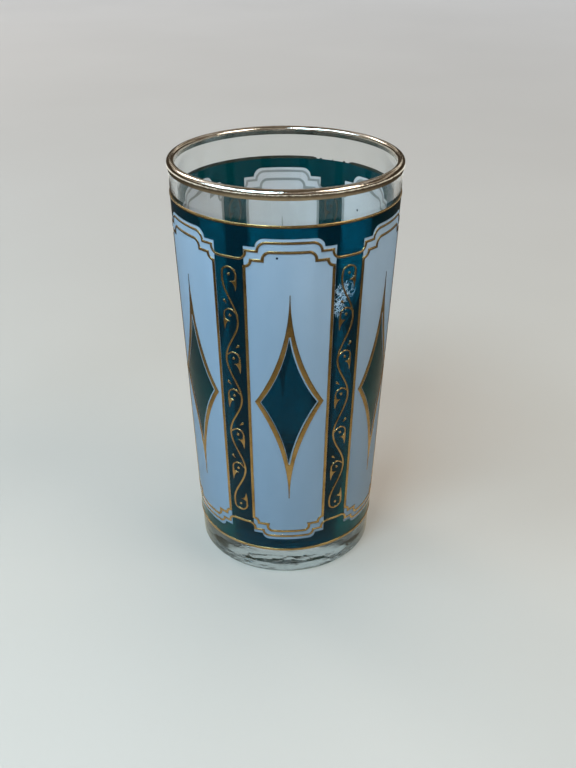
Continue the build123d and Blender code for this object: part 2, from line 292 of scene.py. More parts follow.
def diamond_outline(half_width, half_height, bow, tip_width=0.0):
    """Four-pointed shape with inward-bowed sides, blunt at top and bottom by tip_width."""
    tip = tip_width / 2
    sides = []
    for side, rise, from_side in ((1, 1, False), (1, -1, True), (-1, -1, False), (-1, 1, True)):
        point = (side * tip, DIAMOND_Z + rise * half_height)
        line = arc((side * half_width, DIAMOND_Z), point, side * rise * bow, DIAMOND_ARC_STEPS)
        sides.append(line if from_side else line[::-1])
    return closed_line(*sides)


# ---- Patches: flat points (x, z), the faces between them, and each point's height ----
def inside(outline, points):
    """Which points lie inside a closed outline."""
    x, z = points[:, 0], points[:, 1]
    found = np.zeros(len(points), bool)
    for (x0, z0), (x1, z1) in zip(outline, np.roll(outline, -1, axis=0)):
        crosses = (z0 > z) != (z1 > z)
        if z1 != z0:
            found ^= crosses & (x < (x1 - x0) * (z - z0) / (z1 - z0) + x0)
    return found


def distance_to(line, points, closed):
    """Distance of each point from a line."""
    ends = np.roll(line, -1, axis=0) if closed else line[1:]
    starts = line if closed else line[:-1]
    nearest = np.full(len(points), np.inf)
    for start, end in zip(starts, ends):
        along = end - start
        part = np.clip((points - start) @ along / max(along @ along, 1e-12), 0, 1)
        gap = points - start - part[:, None] * along
        nearest = np.minimum(nearest, np.einsum("ij,ij->i", gap, gap))
    return np.sqrt(nearest)


def depth_inside(outline, points):
    """How far inside a closed outline each point is, less than 0 outside it."""
    return distance_to(outline, points, True) * np.where(inside(outline, points), 1, -1)


def filled(outline, holes=()):
    """Even triangles inside a closed outline, less its holes."""
    loops = [divided(loop, ENAMEL_STEP, True) for loop in (outline, *holes)]
    low = outline.min(0)
    high = outline.max(0)
    rows = np.arange(low[1], high[1], ENAMEL_STEP * ROW_SHARE)
    columns = np.arange(low[0], high[0], ENAMEL_STEP)
    grid = np.array([(x + ENAMEL_STEP / 2 * (row % 2), z) for row, z in enumerate(rows) for x in columns])
    for loop in loops:
        grid = grid[distance_to(loop, grid, True) > ENAMEL_STEP * EDGE_ROOM]
    points = np.vstack((*loops, grid))
    edges = []
    first = 0
    for loop in loops:
        count = len(loop)
        edges += [(first + at, first + (at + 1) % count) for at in range(count)]
        first += count
    made = geometry.delaunay_2d_cdt([Vector(point) for point in points], edges, [], 0, SAME_POINT)
    points = np.array(made[0])
    faces = np.array(made[2])
    middles = points[faces].mean(axis=1)
    keep = inside(loops[0], middles)
    for hole in loops[1:]:
        keep &= ~inside(hole, middles)
    faces = faces[keep]
    used, faces = np.unique(faces, return_inverse=True)
    return points[used], faces.reshape(-1, 3).tolist(), np.zeros(len(used))


def strip(path, width, closed):
    """Ribbon along a path with a softly domed cross-section. width is in mm, or gives it for a point."""
    path = divided(path, LINE_STEP, closed)
    run = np.roll(path, -1, axis=0) - path
    run /= np.maximum(np.hypot(*run.T), 1e-9)[:, None]
    before = np.roll(run, 1, axis=0)
    if not closed:
        run[-1] = run[-2]
        before[0] = run[0]
    left_after = np.stack((-run[:, 1], run[:, 0]), axis=1)
    left_before = np.stack((-before[:, 1], before[:, 0]), axis=1)
    mitre = (left_after + left_before) / (1 + np.einsum("ij,ij->i", left_after, left_before))[:, None]
    across = len(GOLD_SECTION)
    halves = [(width(point) if callable(width) else width) / 2 for point in path]
    points = [
        point + out * half * side
        for point, out, half in zip(path, mitre, halves)
        for side, _ in GOLD_SECTION
    ]
    heights = [height for _ in path for _, height in GOLD_SECTION]
    faces = []
    for at in range(len(path) if closed else len(path) - 1):
        here = at * across
        there = (at + 1) % len(path) * across
        for side in range(across - 1):
            faces.append((here + side + 1, here + side, there + side, there + side + 1))
    return np.array(points), faces, np.array(heights)


def relief(distance, low, high, step, edge):
    """Patch over the inside of a signed distance field, rising from 0 at its edge to 1 further in."""
    xs = np.arange(low[0], high[0] + step, step)
    zs = np.arange(low[1], high[1] + step, step)
    grid_x, grid_z = np.meshgrid(xs, zs)
    points = np.stack((grid_x.ravel(), grid_z.ravel()), axis=1)
    depth = distance(points)
    least = LEAST_DEPTH * step
    depth = np.where(np.abs(depth) < least, np.where(depth < 0, -least, least), depth)
    within = (depth > 0).reshape(grid_x.shape)
    columns = len(xs)
    corner_sum = within[:-1, :-1].astype(int) + within[1:, :-1] + within[:-1, 1:] + within[1:, 1:]
    made_points = []
    made_heights = []
    index = {}

    def vertex(key, point, height):
        if key not in index:
            index[key] = len(made_points)
            made_points.append(point)
            made_heights.append(height)
        return index[key]

    faces = []
    for row, column in zip(*np.nonzero(corner_sum)):
        start = row * columns + column
        corners = (start, start + 1, start + columns + 1, start + columns)
        face = []
        for here, there in zip(corners, corners[1:] + corners[:1]):
            if depth[here] > 0:
                rise = 1 - min(depth[here] / edge, 1)
                face.append(vertex(here, points[here], sqrt(1 - rise * rise)))
            if (depth[here] > 0) != (depth[there] > 0):
                part = depth[here] / (depth[here] - depth[there])
                cut = points[here] + (points[there] - points[here]) * part
                face.append(vertex((min(here, there), max(here, there)), cut, 0.0))
        faces.append(face)
    return np.array(made_points), faces, np.array(made_heights)


# ---- Wrapping patches onto the wall ----
def round_wall(patch):
    """The patch's points as angle round the glass in degrees, and height z."""
    points, faces, heights = patch
    angle = np.degrees(np.arcsin(np.clip(points[:, 0] / wall_radius(points[:, 1]), -1, 1)))
    return np.stack((angle, points[:, 1]), axis=1), faces, heights


def repeated(patch, angles):
    """Copies of a wrapped patch turned to each angle, joined where their edges meet."""
    points, faces, heights = patch
    index = {}
    made_points = []
    made_heights = []
    made_faces = []
    for angle in angles:
        number = []
        for point, height in zip(points, heights):
            place = (point[0] + angle) % 360
            key = (round(place, 3) % 360, round(point[1], 3), round(height, 3))
            if key not in index:
                index[key] = len(made_points)
                made_points.append((place, point[1]))
                made_heights.append(height)
            number.append(index[key])
        made_faces += [[number[at] for at in face] for face in faces]
    return np.array(made_points), made_faces, np.array(made_heights)


def together(patches):
    """Several wrapped patches as one."""
    first = 0
    faces = []
    for points, own_faces, _ in patches:
        faces += [[first + at for at in face] for face in own_faces]
        first += len(points)
    points = np.vstack([patch[0] for patch in patches])
    return points, faces, np.concatenate([patch[2] for patch in patches])


def scratch_strokes():
    """Short fine strokes, scattered and crossing, where the column's enamel has been rubbed."""
    chance = random.Random(11)
    strokes = []
    for angle, z, spread_across, spread_up, count in SCRATCH_PATCHES:
        for _ in range(count):
            middle = np.array((chance.gauss(0, spread_across), chance.gauss(0, spread_up)))
            lean = radians(chance.choice(SCRATCH_LEANS) + chance.gauss(0, SCRATCH_LEAN_SPREAD))
            along = np.array((cos(lean), sin(lean)))
            across = np.array((-along[1], along[0]))
            reach = chance.uniform(*SCRATCH_HALF_LENGTH)
            half = chance.uniform(*SCRATCH_HALF_WIDTH)
            bend = across * chance.uniform(-SCRATCH_BEND, SCRATCH_BEND)
            line = (
                middle - along * reach,
                middle + bend + across * half,
                middle + along * reach,
                middle + bend - across * half,
            )
            degrees_per_mm = 180 / pi / wall_radius(z)
            points = np.array([(angle + x * degrees_per_mm, z + up) for x, up in line])
            strokes.append((points, [[3, 2, 1, 0]], np.full(4, chance.uniform(0, 1))))
    return together(strokes)


def layer(patch, lift, edge, thickness):
    """Closed thin solid on the wall: the patch's underside at lift, its edge and its raised face."""
    points, faces, heights = patch
    count = len(points)
    angle = np.radians(points[:, 0])
    z = points[:, 1]
    corners = []
    for out in (lift + edge + thickness * heights, np.full(count, lift)):
        radius = wall_radius(z) + out
        corners.append(np.stack((radius * np.sin(angle), -radius * np.cos(angle), z), axis=1))
    rims = {}
    for face in faces:
        for here, there in zip(face, face[1:] + face[:1]):
            if (there, here) in rims:
                del rims[(there, here)]
            else:
                rims[(here, there)] = True
    made = [list(face) for face in faces]
    made += [[at + count for at in reversed(face)] for face in faces]
    made += [[there, here, here + count, there + count] for here, there in rims]
    normals = np.stack((np.sin(angle), -np.cos(angle), np.full(count, -TAPER)), axis=1)
    normals /= np.linalg.norm(normals, axis=1)[:, None]
    return np.vstack(corners) * MM, made, np.vstack((normals, -normals)), 2 * len(faces)


def linked(name, data):
    """New object in the scene."""
    made = bpy.data.objects.new(name, data)
    bpy.context.scene.collection.objects.link(made)
    return made


def piece(name, vertices, faces, look, nodes, sharp_degrees, normals=None, smooth_faces=0):
    """Mesh object that stands for nodes, if any. normals are each vertex's on the first smooth_faces."""
    mesh = bpy.data.meshes.new(name)
    mesh.from_pydata(np.asarray(vertices).tolist(), [], [list(map(int, face)) for face in faces])
    mesh.validate()
    mesh.update()
    mesh.materials.append(look)
    mesh.shade_smooth()
    mesh.set_sharp_from_angle(angle=radians(sharp_degrees))
    if normals is not None:
        loops = [
            normals[vertex] if polygon.index < smooth_faces else polygon.normal
            for polygon in mesh.polygons
            for vertex in polygon.vertices
        ]
        mesh.normals_split_custom_set(loops)
    made = linked(name, mesh)
    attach(made, "root")
    if nodes:
        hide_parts(*nodes)


def enamel_piece(name, patch, look, cad_node):
    vertices, faces, normals, smooth_faces = layer(patch, ENAMEL_LIFT, ENAMEL_THICKNESS, 0.0)
    piece(name, vertices, faces, look, [cad_node], SHARP_ENAMEL, normals, smooth_faces)


def gold_piece(name, patch, look, cad_node):
    vertices, faces, _, _ = layer(patch, GOLD_LIFT, GOLD_EDGE, GOLD_THICKNESS)
    piece(name, vertices, faces, look, [cad_node], SHARP_GOLD)


# ---- Turned pieces ----
def filleted(corners, radii):
    """Closed profile through corners, each rounded by its radius."""
    made = []
    count = len(corners)
    for at in range(count):
        here = np.array(corners[at], float)
        radius = radii[at]
        if radius == 0:
            made.append(here)
            continue
        back = np.array(corners[at - 1], float) - here
        ahead = np.array(corners[(at + 1) % count], float) - here
        back /= np.linalg.norm(back)
        ahead /= np.linalg.norm(ahead)
        half_angle = np.arccos(np.clip(back @ ahead, -1, 1)) / 2
        reach = radius / tan(half_angle)
        middle = here + (back + ahead) / np.linalg.norm(back + ahead) * radius / sin(half_angle)
        begin = here + back * reach - middle
        end = here + ahead * reach - middle
        turn = np.arccos(np.clip(begin @ end / radius**2, -1, 1))
        for part in np.linspace(0, 1, FILLET_STEPS + 1):
            weight = (sin((1 - part) * turn) * begin + sin(part * turn) * end) / sin(turn)
            made.append(middle + weight)
    return made


def turned(profile, closed):
    """Vertices and faces of a profile of (radius, z) turned about the axis."""
    profile = [(float(radius), float(z)) for radius, z in profile]
    vertices = []
    rows = []
    for radius, z in profile:
        if radius < SAME_POINT:
            rows.append([len(vertices)] * TURNS)
            vertices.append((0, 0, z))
            continue
        rows.append(list(range(len(vertices), len(vertices) + TURNS)))
        for turn in range(TURNS):
            angle = 2 * pi * turn / TURNS
            vertices.append((radius * sin(angle), -radius * cos(angle), z))
    faces = []
    pairs = list(zip(rows, rows[1:]))
    if closed:
        pairs.append((rows[-1], rows[0]))
    for low, high in pairs:
        for turn in range(TURNS):
            after = (turn + 1) % TURNS
            face = [low[turn], low[after], high[after], high[turn]]
            faces.append(list(dict.fromkeys(face)))
    return np.array(vertices) * MM, faces


def glass_profile():
    """Half section of the glass from the middle of its underside, out, up and back in to the axis."""
    floor_radius = wall_radius(BASE_THICKNESS) - WALL_AT_BASE
    chord = PUSH_UP_RADIUS**2 + PUSH_UP_DEPTH**2
    sphere = chord / (2 * PUSH_UP_DEPTH)
    under = []
    for part in range(PUSH_UP_STEPS + 1):
        radius = PUSH_UP_RADIUS * PUSH_UP_DRAWN * part / PUSH_UP_STEPS
        under.append((radius, PUSH_UP_DEPTH - sphere + sqrt(sphere**2 - radius**2)))
    corners = [
        *under,
        (PUSH_UP_RADIUS, 0),
        (BASE_RADIUS, 0),
        (RIM_RADIUS, HEIGHT),
        (RIM_RADIUS - WALL_AT_RIM, HEIGHT),
        (floor_radius, BASE_THICKNESS),
        (0, BASE_THICKNESS),
    ]
    radii = [0] * len(under)
    radii += [FOOT_EDGE_RADIUS, BASE_CORNER_RADIUS, LIP_RADIUS, LIP_RADIUS, INNER_CORNER_RADIUS, 0]
    return divided(np.array(filleted(corners, radii)), PROFILE_STEP, False)


def rim_gold_profile():
    """Closed section of the gilding: over the lip, the same wall's end a little thicker."""
    low_outside = RIM_GOLD_BOX[0].z
    low_inside = HEIGHT - RIM_BAND_INSIDE
    inside_taper = (wall_radius(HEIGHT) - WALL_AT_RIM - wall_radius(BASE_THICKNESS) + WALL_AT_BASE) / (
        HEIGHT - BASE_THICKNESS
    )

    def over_lip(lift):
        corners = [
            (wall_radius(low_outside) + lift, low_outside),
            (RIM_RADIUS + lift, HEIGHT + lift),
            (RIM_RADIUS - WALL_AT_RIM - lift, HEIGHT + lift),
            (RIM_RADIUS - WALL_AT_RIM - inside_taper * RIM_BAND_INSIDE - lift, low_inside),
        ]
        round_over = LIP_RADIUS + lift
        return filleted(corners, [0, round_over, round_over, 0])

    outer = []
    for radius, z in divided(np.array(over_lip(RIM_GOLD_LIFT + RIM_GOLD_THICKNESS)), RIM_STEP, False):
        height = (z - low_outside) / (HEIGHT - low_outside)
        outside = np.clip((radius - RIM_RADIUS + WALL_AT_RIM) / WALL_AT_RIM, 0, 1)
        outer.append((radius + RIM_BEAD * outside * sin(pi * min(max(height, 0), 1)), z))
    inner = over_lip(RIM_GOLD_LIFT)
    return [*outer, *reversed(inner)]


# ---- Scroll ----
def round_points(center, radius, start, stop):
    """Points along an arc about center, angles in degrees."""
    angle = np.radians(np.linspace(start, stop, CURL_STEPS + 1))
    return np.stack((center[0] + radius * np.cos(angle), center[1] + radius * np.sin(angle)), axis=1)


def smooth_path(points, steps=6):
    """Smooth line through points."""
    points = np.array(points)
    ends = np.vstack((2 * points[0] - points[1], points, 2 * points[-1] - points[-2]))
    made = []
    for before, start, end, after in zip(ends, ends[1:], ends[2:], ends[3:]):
        for step in range(steps):
            t = step / steps
            bend = 2 * before - 5 * start + 4 * end - after
            twist = 3 * start - before - 3 * end + after
            made.append((2 * start + (end - before) * t + bend * t * t + twist * t**3) / 2)
    made.append(points[-1])
    return np.array(made)


def stem_path():
    """Middle line of the stem: over the top curl, swaying down the column, under the last curl."""
    sways = CURL_COUNT - 1
    high = TOP_CURL_Z - STEM_SWAY_INSET
    low = LAST_CURL_Z + STEM_SWAY_INSET
    part = np.linspace(0, 1, 6 * sways + 1)
    sway = np.stack((-STEM_SWING * np.cos(pi * sways * part), high + (low - high) * part), axis=1)
    top = round_points((0, TOP_CURL_Z), STEM_SWING, *STEM_TOP_TURN)
    foot = round_points((0, LAST_CURL_Z), STEM_SWING, *STEM_FOOT_TURN)
    return smooth_path(np.vstack((top, sway, foot)))


def tail_outline(center, side, rise, radius):
    """Fishtail that ends a curl: a long point away from the curl and a short prong inwards."""
    outer = (side * (radius + CURL_WIDTH / 2), -rise * CURL_WIDTH)
    tip = (side * TAIL_TIP_SIDE, -rise * TAIL_TIP_DROP)
    notch = (side * (radius - TAIL_NOTCH_INSET), -rise * (radius + TAIL_NOTCH_DROP))
    prong = (-side * TAIL_PRONG_SIDE, -rise * (radius - TAIL_PRONG_RISE))
    inner = (side * (radius - CURL_WIDTH), -rise * (radius - TAIL_INNER_RISE))
    corners = (outer, tip, notch, prong, inner)
    sides = zip(corners, corners[1:], TAIL_BOWS)
    outline = closed_line(*(arc(start, end, side * rise * bow) for start, end, bow in sides))
    return outline + np.array(center)


def span(line):
    """Lowest and highest z of a line."""
    return line[:, 1].min(), line[:, 1].max()


def scroll_distance(points):
    """How far inside the scroll's strokes each point is."""
    depth = np.full(len(points), -FAR_OUTSIDE)

    def draw(low_z, high_z, stroke):
        near = (points[:, 1] > low_z - 1) & (points[:, 1] < high_z + 1)
        depth[near] = np.maximum(depth[near], stroke(points[near]))

    def line(path, width):
        draw(*span(path), lambda near: width / 2 - distance_to(path, near, False))

    def shape(outline):
        draw(*span(outline), lambda near: depth_inside(outline, near))

    def dot(center, radius):
        middle = np.array(center)
        span_of_dot = (center[1] - radius, center[1] + radius)
        draw(*span_of_dot, lambda near: radius - np.hypot(*(near - middle).T))

    line(stem_path(), STEM_WIDTH)
    for z, rise in ((TOP_CURL_Z, 1), (LAST_CURL_Z, -1)):
        shape(tail_outline((0, z), 1, rise, STEM_SWING))
        dot((0, z), DOT_RADIUS)
    for curl in range(1, CURL_COUNT - 1):
        side = 1 if curl % 2 == 0 else -1
        rise = 0 if side > 0 else LEFT_CURL_RISE
        center = (side * CURL_SIDE_SHIFT, TOP_CURL_Z - CURL_PITCH * curl + rise)
        branch = (-side * STEM_SWING, center[1] + CURL_BRANCH_RISE)
        turns = round_points(center, CURL_RADIUS, 90 + side * CURL_START, 90 - side * CURL_END)
        line(smooth_path(np.vstack((branch, turns))), CURL_WIDTH)
        shape(tail_outline(center, side, 1, CURL_RADIUS))
        dot(center, DOT_RADIUS)
        leaf_end = (center[0] + side * LEAF_SIDE, center[1] + LEAF_RISE)
        reach = (LEAF_LENGTH - LEAF_RADIUS) * cos(pi / 4)
        across = LEAF_RADIUS * cos(pi / 4)
        dot(leaf_end, LEAF_RADIUS)
        leaf = (
            (leaf_end[0] + side * across, leaf_end[1] - across),
            (leaf_end[0] - side * reach, leaf_end[1] - reach),
            (leaf_end[0] - side * across, leaf_end[1] + across),
        )
        shape(np.array(leaf))
    return depth


def diamond_border_distance(points):
    """How far inside the gold edge of a diamond each point is."""
    shifted = points - np.array((DIAMOND_GOLD_SHIFT, 0))
    outer = diamond_outline(DIAMOND_HALF_WIDTH, DIAMOND_HALF_HEIGHT, DIAMOND_BOW, DIAMOND_TIP_WIDTH)
    window = diamond_outline(DIAMOND_ENAMEL_HALF_WIDTH, DIAMOND_ENAMEL_HALF_HEIGHT, DIAMOND_ENAMEL_BOW)
    return np.minimum(
        depth_inside(outer, shifted), -depth_inside(window, shifted) - DIAMOND_GOLD_CLEARANCE
    )


# ---- Materials ----
def material(name):
    """New material with an empty node tree, and that tree."""
    made = bpy.data.materials.new(name)
    made.use_nodes = True
    made.node_tree.nodes.clear()
    return made, made.node_tree


def node(tree, kind, inputs=None, **settings):
    """New node with its settings, and with values or links on its inputs."""
    made = tree.nodes.new("ShaderNode" + kind)
    for key, value in settings.items():
        setattr(made, key, value)
    for key, value in (inputs or {}).items():
        if isinstance(value, bpy.types.NodeSocket):
            tree.links.new(value, made.inputs[key])
        else:
            made.inputs[key].default_value = value
    return made


def finished(made, surface, kind="Material"):
    """The material or world, with a shader as its surface."""
    node(made.node_tree, "Output" + kind, {"Surface": surface})
    return made


def shader(tree, kind, inputs):
    """Output of a new surface shader."""
    return node(tree, "Bsdf" + kind, inputs).outputs["BSDF"]


def mixed(tree, share, first, second):
    """Shader from first to second by share."""
    return node(tree, "MixShader", {0: share, 1: first, 2: second}).outputs["Shader"]


def own_place(tree):
    """Place on the object, in metres."""
    return node(tree, "TexCoord").outputs["Object"]


def noise(tree, scale, detail=3.0, roughness=0.55, stretch=(1, 1, 1)):
    """Value between 0 and 1 of noise over the object's own coordinates, scale in features per metre."""
    placed = node(tree, "Mapping", {"Vector": own_place(tree), "Scale": stretch}).outputs["Vector"]
    inputs = {"Vector": placed, "Scale": scale, "Detail": detail, "Roughness": roughness}
    return node(tree, "TexNoise", inputs).outputs["Fac"]


def ramp(tree, value, stops):
    """Colour between stops of (place, colour)."""
    made = node(tree, "ValToRGB", {"Fac": value})
    elements = made.color_ramp.elements
    while len(elements) < len(stops):
        elements.new(0.5)
    for element, (place, color) in zip(elements, stops):
        element.position = place
        element.color = (*color, 1)
    return made.outputs["Color"]


def spread(tree, value, low, high, out_low=0.0, out_high=1.0):
    """value's range from low to high, carried over to out_low to out_high."""
    inputs = {"Value": value, "From Min": low, "From Max": high, "To Min": out_low, "To Max": out_high}
    return node(tree, "MapRange", inputs).outputs["Result"]


def bump(tree, value, strength, distance, under=None):
    """Normal of a surface roughened by value, on top of another bump where under is its normal."""
    inputs = {"Height": value, "Strength": strength, "Distance": distance}
    if under is not None:
        inputs["Normal"] = under
    return node(tree, "Bump", inputs).outputs["Normal"]


def arithmetic(tree, operation, first, second=0.0):
    """Result of a calculation on two values."""
    return node(tree, "Math", {0: first, 1: second}, operation=operation).outputs["Value"]


def close_to(tree, place, reach, fade):
    """1 within reach of a place in metres, falling to 0 over fade."""
    gap = node(tree, "VectorMath", {0: own_place(tree), 1: place}, operation="DISTANCE")
    return spread(tree, gap.outputs["Value"], reach, reach + fade, 1.0, 0.0)


def outwards(tree):
    """1 where the surface faces away from the glass's axis, 0 where it faces the inside."""
    facing = node(tree, "NewGeometry").outputs["Normal"]
    dot = node(tree, "VectorMath", {0: own_place(tree), 1: facing}, operation="DOT_PRODUCT")
    return arithmetic(tree, "GREATER_THAN", dot.outputs["Value"])


def blend_colors(tree, share, first, second):
    """Colour from first to second by share."""
    return node(tree, "Mix", {0: share, 6: first, 7: second}, data_type="RGBA").outputs[2]


def wall_place(angle, z):
    """Point on the wall in metres, angle in degrees from the first panel's middle."""
    radius = wall_radius(z) * MM
    return (radius * sin(radians(angle)), -radius * cos(radians(angle)), z * MM)


def glass_material():
    """Clear pressed glass, streaky and tinted in the base, with faint ripples and handling marks."""
    made, tree = material("clear_pressed_glass")
    height = node(tree, "SeparateXYZ", {0: own_place(tree)}).outputs["Z"]
    ripple = bump(tree, noise(tree, 45, 2, 0.4, (1, 1, 0.5)), 0.12, 0.0012)
    streak_strength = spread(tree, height, 0.011, 0.015, 0.16, 0.0)
    streaky = bump(tree, noise(tree, 130, 3, 0.5, (1, 1, 4)), streak_strength, 0.001, ripple)
    in_base = spread(tree, height, 0.0, 0.013)
    glass = shader(
        tree,
        "Principled",
        {
            "Base Color": ramp(tree, in_base, [(0.6, (0.62, 0.80, 0.83)), (1.0, (0.95, 0.98, 0.975))]),
            "Roughness": spread(tree, noise(tree, 90, 5, 0.65), 0.5, 0.8, 0.0, 0.05),
            "IOR": 1.51,
            "Specular IOR Level": 0.15,
            "Transmission Weight": 1.0,
            "Normal": streaky,
        },
    )
    clear = shader(tree, "Transparent", {"Color": (0.95, 0.975, 0.97, 1)})
    shadow = node(tree, "LightPath").outputs["Is Shadow Ray"]
    return finished(made, mixed(tree, shadow, glass, clear))


def teal_material():
    """Dark transparent enamel, like stained glass: it tints what is behind it and shines a little. Its
    inward faces let through a darker, greener tint than its outward ones, as painted shade.
    """
    made, tree = material("teal_enamel")
    cloud = noise(tree, 160, 4, 0.6)
    # painted shade: the tint seen from inside is darker and greener than the one seen from outside
    outside = ramp(tree, cloud, [(0.3, (0.01, 0.31, 0.41)), (0.7, (0.02, 0.43, 0.56))])
    within = ramp(tree, cloud, [(0.3, (0.02, 0.20, 0.19)), (0.7, (0.03, 0.25, 0.24))])
    through = shader(tree, "Transparent", {"Color": blend_colors(tree, outwards(tree), within, outside)})
    body = shader(tree, "Diffuse", {"Color": (0.0, 0.075, 0.11, 1), "Roughness": 0.2})
    grain = bump(tree, noise(tree, 900, 3, 0.6), 0.08, 0.0002)
    shine = shader(tree, "Glossy", {"Color": (1, 1, 1, 1), "Roughness": 0.09, "Normal": grain})
    fresnel = node(tree, "Fresnel", {"IOR": 1.24, "Normal": grain}).outputs["Fac"]
    mirrors = arithmetic(tree, "MULTIPLY", fresnel, outwards(tree))
    return finished(made, mixed(tree, mirrors, mixed(tree, 0.16, through, body), shine))


def scratch_material():
    """Chalky torn enamel."""
    made, tree = material("scratched_enamel")
    color = ramp(tree, noise(tree, 900, 3), [(0.35, (0.30, 0.55, 0.70)), (0.6, (0.80, 0.90, 0.97))])
    chalky = bump(tree, noise(tree, 2500), 0.3, 0.0001)
    surface = shader(tree, "Principled", {"Base Color": color, "Roughness": 0.5, "Normal": chalky})
    return finished(made, surface)


def white_material():
    """Milky enamel with a few dark specks: light spreads in it and a little goes straight through.

    Its outward faces are painted a cool blue tint and its inward faces a warm one, as painted light. What
    is mirrored of it is painted a faint dark grey, as painted shade, so that the teal across the glass
    stays dark.
    """
    made, tree = material("white_enamel")
    cloud = noise(tree, 70, 4, 0.6, (1, 1, 0.4))
    # painted light: the outward faces get a cool blue tint and the inward faces a warm one, lit copies of
    # one enamel
    outside = ramp(tree, cloud, [(0.3, (0.49, 0.635, 0.75)), (0.7, (0.56, 0.71, 0.83))])
    within = ramp(tree, cloud, [(0.3, (0.80, 0.66, 0.60)), (0.7, (0.88, 0.73, 0.67))])
    faces_out = outwards(tree)
    body = shader(
        tree,
        "Principled",
        {
            "Base Color": blend_colors(tree, faces_out, within, outside),
            "Roughness": spread(tree, noise(tree, 220, 4), 0.3, 0.7, 0.28, 0.42),
            "IOR": 1.45,
            "Normal": bump(tree, noise(tree, 1500, 3, 0.6), 0.12, 0.0002),
        },
    )
    spreads = shader(tree, "Translucent", {"Color": (0.64, 0.69, 0.73, 1)})
    through = shader(tree, "Transparent", {"Color": (0.9, 0.92, 0.94, 1)})
    clearness = spread(tree, faces_out, 0.0, 1.0, 0.45, 0.22)
    enamel = mixed(tree, clearness, mixed(tree, 0.4, body, spreads), through)
    specks = 0.0
    for angle, z, radius in SPECKS:
        speck = close_to(tree, wall_place(angle, z), radius * MM, SPECK_FADE * MM)
        specks = arithmetic(tree, "MAXIMUM", speck, specks)
    dark = shader(tree, "Diffuse", {"Color": (0.01, 0.02, 0.03, 1)})
    # painted shade: seen in a reflection, the enamel is drawn as a flat dark grey
    faint = shader(tree, "Diffuse", {"Color": (0.12, 0.13, 0.14, 1)})
    mirrored = arithmetic(tree, "GREATER_THAN", node(tree, "LightPath").outputs["Glossy Depth"], 0.5)
    return finished(made, mixed(tree, mirrored, mixed(tree, specks, enamel, dark), faint))


def gold_material(name, dark, light, worn, smooth, rough, painted_shade_underside=None):
    """Fired gold: uneven in tone and rubbed dull in patches. Where a shade colour is given, faces turned
    towards the axis take that flat dull colour instead, as painted shade for the dark line the gold makes
    in the enamel, seen from inside.
    """
    made, tree = material(name)
    surface = shader(
        tree,
        "Principled",
        {
            "Base Color": ramp(tree, noise(tree, 130, 5, 0.7), [(0.28, worn), (0.42, dark), (0.72, light)]),
            "Metallic": 1.0,
            "Roughness": spread(tree, noise(tree, 420, 4, 0.65), 0.3, 0.7, smooth, rough),
            "Normal": bump(tree, noise(tree, 1300, 3, 0.6), 0.2, 0.00025),
        },
    )
    # painted shade: inward faces get a flat dull colour that stands in for the line's shadow, seen from
    # inside
    if painted_shade_underside:
        surface = mixed(tree, outwards(tree), shader(tree, "Diffuse", {"Color": (*painted_shade_underside, 1)}), surface)
    return finished(made, surface)


def floor_material():
    """Pale floor with a painted brightness gradient: darker near the glass, paler far off where the lamps'
    light falls away. Mirrored in the object it is a painted reflection, dark and brown, with one pale band.

    It is painted dim in the light it gives back, as painted shade on the object's lower part, and where it
    is seen through the foot, as a painted shadow under the glass.
    """
    made, tree = material("pale_floor")
    distance = node(tree, "VectorMath", {0: own_place(tree)}, operation="LENGTH").outputs["Value"]
    cloud = noise(tree, 3, 3)
    # painted light: the floor's colour runs from darker near the glass to paler far off, evening out the
    # lamps' falloff
    close_up = ramp(tree, cloud, [(0.3, (0.40, 0.355, 0.30)), (0.7, (0.43, 0.385, 0.33))])
    far_off = ramp(tree, cloud, [(0.3, (0.76, 0.75, 0.73)), (0.7, (0.80, 0.79, 0.77))])
    color = blend_colors(tree, spread(tree, distance, 0.15, 1.5), close_up, far_off)
    body = shader(tree, "Principled", {"Base Color": color, "Roughness": 0.7})
    # painted reflection: to glossy rays the floor shows a dark brown ramp with one pale band, not its own
    # colour
    brown = ramp(
        tree,
        spread(tree, distance, 0.05, 0.75),
        [
            (0.0, (0.48, 0.39, 0.27)),
            (0.13, (0.20, 0.155, 0.10)),
            (0.30, (0.05, 0.037, 0.025)),
            (0.52, (0.05, 0.037, 0.025)),
            (0.56, (0.95, 0.88, 0.75)),
            (0.74, (0.95, 0.90, 0.80)),
            (0.84, (0.08, 0.06, 0.04)),
        ],
    )
    mirrored = shader(tree, "Diffuse", {"Color": brown})
    # painted shade: to diffuse rays the floor is dark grey, so it bounces little light onto the object's
    # lower part
    dim = shader(tree, "Diffuse", {"Color": (0.08, 0.09, 0.10, 1)})
    ray = node(tree, "LightPath")
    glossy, through, diffuse = (
        ray.outputs[f"Is {kind} Ray"] for kind in ("Glossy", "Transmission", "Diffuse")
    )
    # painted shadow: seen through the foot, the floor near the axis is drawn dim
    painted_foot_shadow = arithmetic(tree, "MULTIPLY", through, spread(tree, distance, 0.035, 0.075, 0.85, 0.0))
    dimmed = mixed(tree, arithmetic(tree, "MAXIMUM", diffuse, painted_foot_shadow), body, dim)
    return finished(made, mixed(tree, arithmetic(tree, "GREATER_THAN", glossy, through), dimmed, mirrored))


GOLD_LINE_LOOK = ((0.36, 0.235, 0.09), (0.60, 0.42, 0.195), (0.17, 0.105, 0.045), 0.11, 0.26)
RIM_GOLD_LOOK = ((0.68, 0.60, 0.50), (0.84, 0.77, 0.66), (0.45, 0.36, 0.27), 0.04, 0.11)

clear_glass = glass_material()
teal_enamel = teal_material()
white_enamel = white_material()
